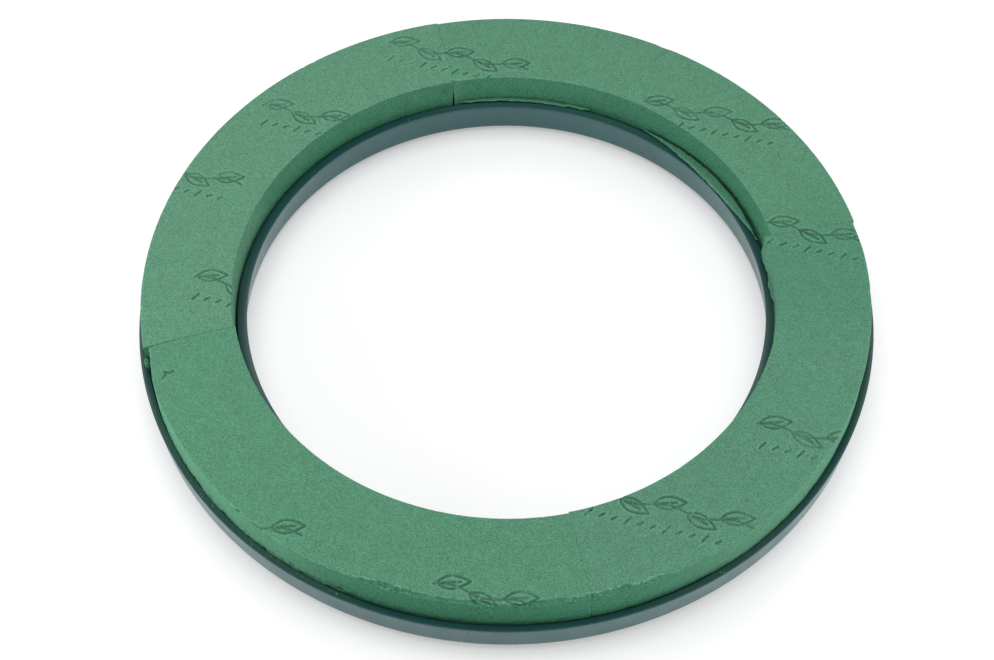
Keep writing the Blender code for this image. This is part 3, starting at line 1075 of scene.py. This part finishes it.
def ribbon(name, angles, inner_edge, outer_edge, thickness, ragged, seed):
    """A thin closed strip of foam between two edges given as (radius, height) at each angle."""
    share = np.linspace(0.0, 1.0, RIBBON_STEPS + 1)
    rows = len(angles)
    turn = np.radians(angles)[:, None]
    inner_edge = np.array(inner_edge)
    outer_edge = np.array(outer_edge)
    radius = inner_edge[:, :1] + (outer_edge[:, :1] - inner_edge[:, :1]) * share
    height = inner_edge[:, 1:] + (outer_edge[:, 1:] - inner_edge[:, 1:]) * share
    height = height + 0.25 * MM * np.sin(share * np.pi)
    rough = layered_noise(place_round(radius, turn, height), 2.0 * MM, seed).reshape(radius.shape)
    radius = radius + ragged * rough * (np.abs(share * 2.0 - 1.0) ** 3)
    top = height + 0.10 * MM * rough + thickness / 2.0
    under = height + 0.10 * MM * rough - thickness / 2.0
    loop_radius = np.concatenate([radius, radius[:, ::-1]], axis=1)
    loop_height = np.concatenate([top, under[:, ::-1]], axis=1)
    place = place_round(loop_radius, turn, loop_height)
    columns = loop_radius.shape[1]
    piece = tube_object(name, place, rows, columns, SHADED_SHAVING)
    edge = np.concatenate([(1.0 - share) ** 8, (1.0 - share[::-1]) ** 8])
    add_values(piece, "dust", np.tile(edge * 0.8, rows))
    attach(piece, BODY)
    return piece


def build_right_shaving():
    """The leaf-shaped sliver that leans on the rim beside the inner wall."""
    first, last, wall = RIGHT_SHAVING
    angles = np.linspace(first, last, 150)
    share = (angles[0] - angles) / (angles[0] - angles[-1])
    swell = np.sin(np.pi * share ** 1.25) ** 0.8
    hole_side = np.column_stack([wall - 3.6 * MM * swell, RIM + 0.55 * MM + 0.2 * MM * share])
    foam_radius = wall - 0.9 * MM * share + 0.3 * MM * swell
    foam_side = np.column_stack([foam_radius, RIM + 0.7 * MM + 1.6 * MM * swell])
    piece = ribbon("shaving_right", angles, hole_side, foam_side, 0.7 * MM, 0.35 * MM, seed=401)
    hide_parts("foam_shaving_right")


def build_back_shaving():
    """The thin strip along the inner wall at the back."""
    first, last, wall = BACK_SHAVING
    angles = np.linspace(first, last, 130)
    share = np.linspace(0.0, 1.0, len(angles))
    swell = np.sin(np.pi * share) ** 0.35
    lift = np.sin(5.0 * share)
    hole_side = np.column_stack([wall - 1.3 * MM * swell, RIM + 0.55 * MM + 0.25 * MM * lift])
    foam_side = np.column_stack([wall + 0.2 * MM + 0.1 * MM * swell, RIM + 0.85 * MM + 0.2 * MM * lift])
    piece = ribbon("shaving_back", angles, hole_side, foam_side, 0.55 * MM, 0.4 * MM, seed=409)
    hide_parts("foam_shaving_back")


# Where crumbs lie: first and last angle, least and greatest radius in millimetres, how many.
CRUMB_ZONES = (
    (203.0, 246.0, 150.9, 152.2, 34),
    (290.0, 318.0, 150.9, 152.2, 16),
    (60.0, 150.0, 109.4, 111.2, 6),
)


CRUMB_STRETCH = ((0.7, 1.5), (0.7, 1.3), (0.5, 0.9))
CRUMB_SINK = 0.45 * MM

# The lump beside the left-hand seam, with its half sizes outward, along the rim and upward.
LUMP_ANGLE = 193.7
LUMP_RADIUS = 0.1500
LUMP_LIFT = 6.0 * MM
LUMP_SIZE = (1.25, 1.5, 2.3)


def ball_shape(subdivisions):
    """The points and faces of a unit ball of triangles."""
    shape = bmesh.new()
    bmesh.ops.create_icosphere(shape, subdivisions=subdivisions, radius=1.0)
    points = np.array([vert.co for vert in shape.verts])
    faces = [[vert.index for vert in face.verts] for face in shape.faces]
    shape.free()
    return points, faces


def build_crumbs():
    """Small crumbs of foam lying on the tray's rim, as one group of closed bodies."""
    draw = random.Random(5)
    verts = []
    faces = []
    base, base_faces = ball_shape(subdivisions=2)
    for first, last, least, greatest, count in CRUMB_ZONES:
        for _ in range(count):
            turn = math.radians(draw.uniform(first, last))
            radius = draw.uniform(least, greatest) * MM
            size = (0.13 + 0.26 * draw.random() ** 2.5) * MM
            stretch = np.array([draw.uniform(*limits) for limits in CRUMB_STRETCH])
            lumps = 1.0 + 0.28 * lattice_noise(base + draw.random() * 50.0, 0.7, 503)
            spin = np.array(Matrix.Rotation(draw.uniform(0.0, math.tau), 3, "Z"))
            body = (base * lumps[:, None] * stretch * size) @ spin.T
            centre = np.array((radius * math.cos(turn), radius * math.sin(turn), 0.0))
            centre[2] = RIM - CRUMB_SINK - body[:, 2].min()
            start = len(verts)
            verts += (body + centre).tolist()
            faces += [[index + start for index in face] for face in base_faces]
    piece = mesh_object("foam_crumbs", verts, faces, CRUMB)
    add_values(piece, "dust", np.full(len(verts), 0.3))
    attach(piece, BODY)


def build_seam_lump():
    """A rough lump of foam left on the rim beside the left-hand seam."""
    base, faces = ball_shape(subdivisions=4)
    lumps = 1.0 + 0.30 * layered_noise(base, 0.8, 521)
    turn = math.radians(LUMP_ANGLE)
    tangent = np.array((-math.sin(turn), math.cos(turn), 0.0))
    outward = np.array((math.cos(turn), math.sin(turn), 0.0))
    upward = np.array((0.0, 0.0, 1.0))
    axes = np.stack([axis * size for axis, size in zip((outward, tangent, upward), LUMP_SIZE)])
    centre = LUMP_RADIUS * outward + (RIM + LUMP_LIFT) * upward
    verts = (base * lumps[:, None]) @ axes * MM + centre
    patches = layered_noise(verts, 0.8 * MM, 523)
    piece = mesh_object("seam_lump", verts, faces, SHADED_SHAVING)
    add_values(piece, "dust", unit(0.5 * patches))
    add_values(piece, "mark", np.clip(-0.5 * patches, 0.0, 0.6))
    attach(piece, BODY)


def build_torn_flake():
    """A torn flake that hangs from the front right arc's inner wall."""
    first, last, wall = TORN_FLAKE
    angles = np.linspace(first, last, 60)
    share = np.linspace(0.0, 1.0, len(angles))
    swell = np.sin(np.pi * share ** 0.8) ** 0.7
    hole_side = np.column_stack([wall - 1.2 * MM * swell, RIM + 1.9 * MM - 1.3 * MM * swell])
    foam_side = np.column_stack([wall + 0.2 * MM - 0.1 * MM * swell, RIM + 2.4 * MM + 1.6 * MM * swell])
    ribbon("torn_flake", angles, hole_side, foam_side, 0.5 * MM, 0.45 * MM, seed=419)


# ---- studio

FLOOR_REACH = 8.0
FLOOR_DROP = 0.02 * MM
WORLD_LIGHT = 0.21
# Each lamp's name, place, the point that it faces, its two sizes and its power in watts.
LAMPS = (
    ("top_softbox", (0.0, 0.0, 1.6), (0.0, 0.0, 0.0), (1.6, 1.2), 16.3),
    ("back_softbox", (0.0, 1.1, 1.3), (0.0, 0.0, 0.0), (1.6, 0.8), 5.9),
    ("left_strip", (-0.54, -0.09, 0.18), (0.0, 0.0, 0.02), (0.35, 0.2), 1.35),
    ("right_strip", (0.50, -0.21, 0.13), (0.0, 0.0, 0.02), (0.35, 0.15), 1.08),
)


def area_light(name, place, target, size, power):
    """A soft rectangular lamp pointed at a spot and hidden from the camera itself."""
    data = bpy.data.lights.new(name, "AREA")
    data.shape = "RECTANGLE"
    data.size, data.size_y = size
    data.energy = power
    lamp = bpy.data.objects.new(name, data)
    lamp.location = place
    aim = Vector(target) - Vector(place)
    lamp.rotation_euler = aim.to_track_quat("-Z", "Y").to_euler()
    lamp.visible_camera = False
    bpy.context.scene.collection.objects.link(lamp)


def build_floor():
    """A wide flat floor just under the object."""
    corners = [(x * FLOOR_REACH, y * FLOOR_REACH, 0.0) for x, y in ((-1, -1), (1, -1), (1, 1), (-1, 1))]
    floor = mesh_object("studio_floor", corners, [[0, 1, 2, 3]], floor_material())
    floor.location.z = -FLOOR_DROP


def build_lights():
    """White world light and the soft lamps."""
    world = bpy.data.worlds.new("studio")
    world.use_nodes = True
    background = world.node_tree.nodes["Background"]
    background.inputs["Color"].default_value = (1.0, 1.0, 1.0, 1.0)
    background.inputs["Strength"].default_value = WORLD_LIGHT
    bpy.context.scene.world = world
    for lamp in LAMPS:
        area_light(*lamp)


def build_camera():
    """The camera at the photograph's viewing angle."""
    scene = bpy.context.scene
    scene.view_settings.view_transform = "Standard"
    data = bpy.data.cameras.new("camera")
    data.sensor_width = 36.0
    data.lens = CAMERA_LENS
    data.clip_start = 0.01
    data.clip_end = 50.0
    camera = bpy.data.objects.new("camera", data)
    camera.location = CAMERA_PLACE
    camera.rotation_euler = (math.radians(CAMERA_TILT), 0.0, 0.0)
    scene.collection.objects.link(camera)
    scene.camera = camera


# ---- the model

build_floor()
build_lights()
build_camera()
FOAM = {name: foam_material(f"foam_{name}", FOAM_COLOURS[name]) for name in ARC_NAMES}
SHADED_SHAVING = foam_material("foam_shaving", SHADED_SHAVING_COLOUR)
CRUMB = foam_material("foam_crumb", CRUMB_COLOUR)
GLUE = glue_material()
for arc_name in ARC_NAMES:
    build_foam_arc(arc_name)
    build_glue_bead(f"glue_bead_{arc_name}_inner")
    build_glue_bead(f"glue_bead_{arc_name}_outer")
build_tray()
build_right_shaving()
build_back_shaving()
build_torn_flake()
build_seam_lump()
build_crumbs()
